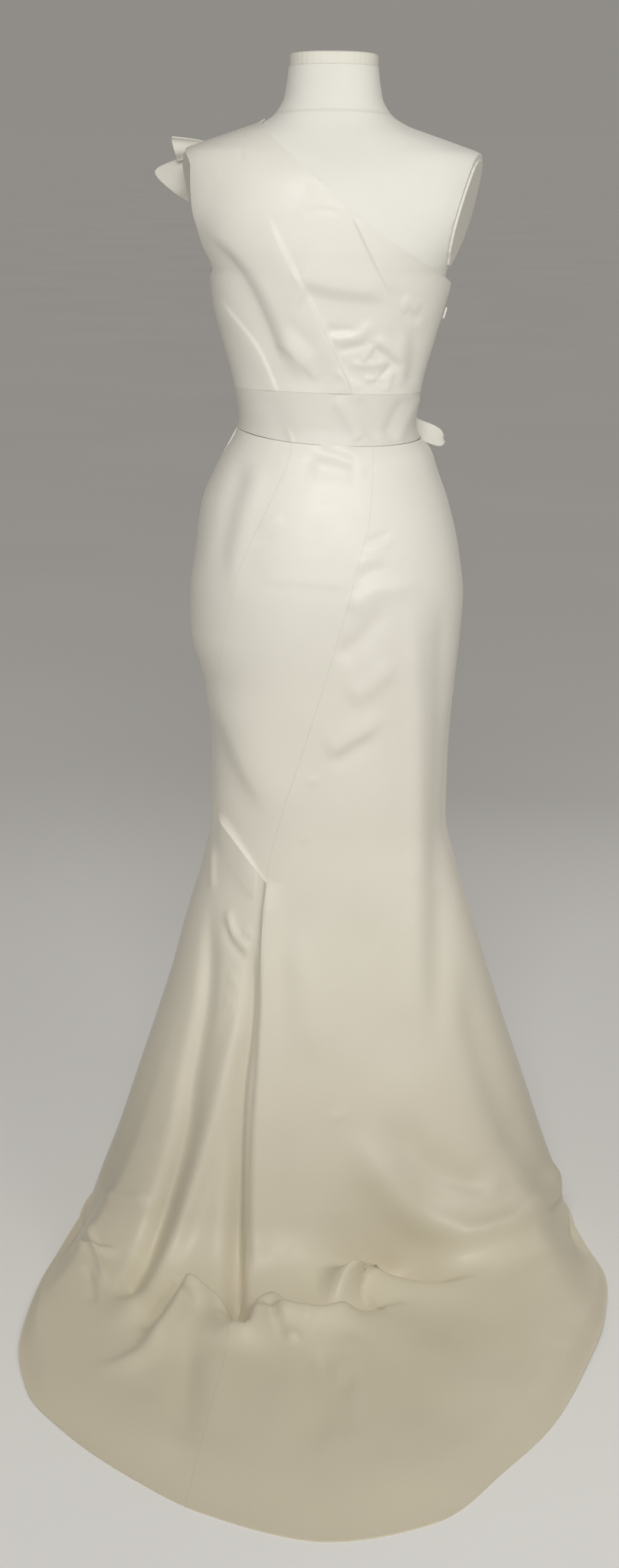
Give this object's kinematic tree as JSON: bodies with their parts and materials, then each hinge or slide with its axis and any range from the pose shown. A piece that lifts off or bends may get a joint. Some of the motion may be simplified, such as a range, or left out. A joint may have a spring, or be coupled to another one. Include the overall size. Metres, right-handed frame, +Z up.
{
  "type": "wedding dress on a dress form",
  "caption": "One-shoulder satin wedding dress with a fitted trumpet skirt and a long train, standing on a limbless dress form.",
  "frame": {"origin": "centre of the underside of the form's round base, on the floor", "axes": "+Z up along the form's pole; the gown's back and its train face -Y, its front faces +Y, the bare right shoulder is towards +X"},
  "size_m": [0.7662, 1.1334, 1.5902],
  "materials": {
    "satin": "ivory duchess satin",
    "form_cover": "smooth cream linen cover",
    "form_trim": "cream satin enamel",
    "form_stand": "cream enamelled steel"
  },
  "bodies": {
    "root": {"bodice_back": "satin", "bodice_front": "satin", "waistband_back": "satin", "waistband_front": "satin", "skirt_front": "satin", "skirt_side_left": "satin", "skirt_back_left": "satin", "skirt_back": "satin", "skirt_godet": "satin", "ruffle_upper": "satin", "ruffle_lower": "satin", "waist_loop": "satin", "side_tab": "satin", "form_torso": "form_cover", "form_neck_cap": "form_trim", "form_arm_plate_left": "form_trim", "form_arm_plate_right": "form_trim", "form_pole": "form_stand", "form_base": "form_stand"}
  },
  "joints": []
}
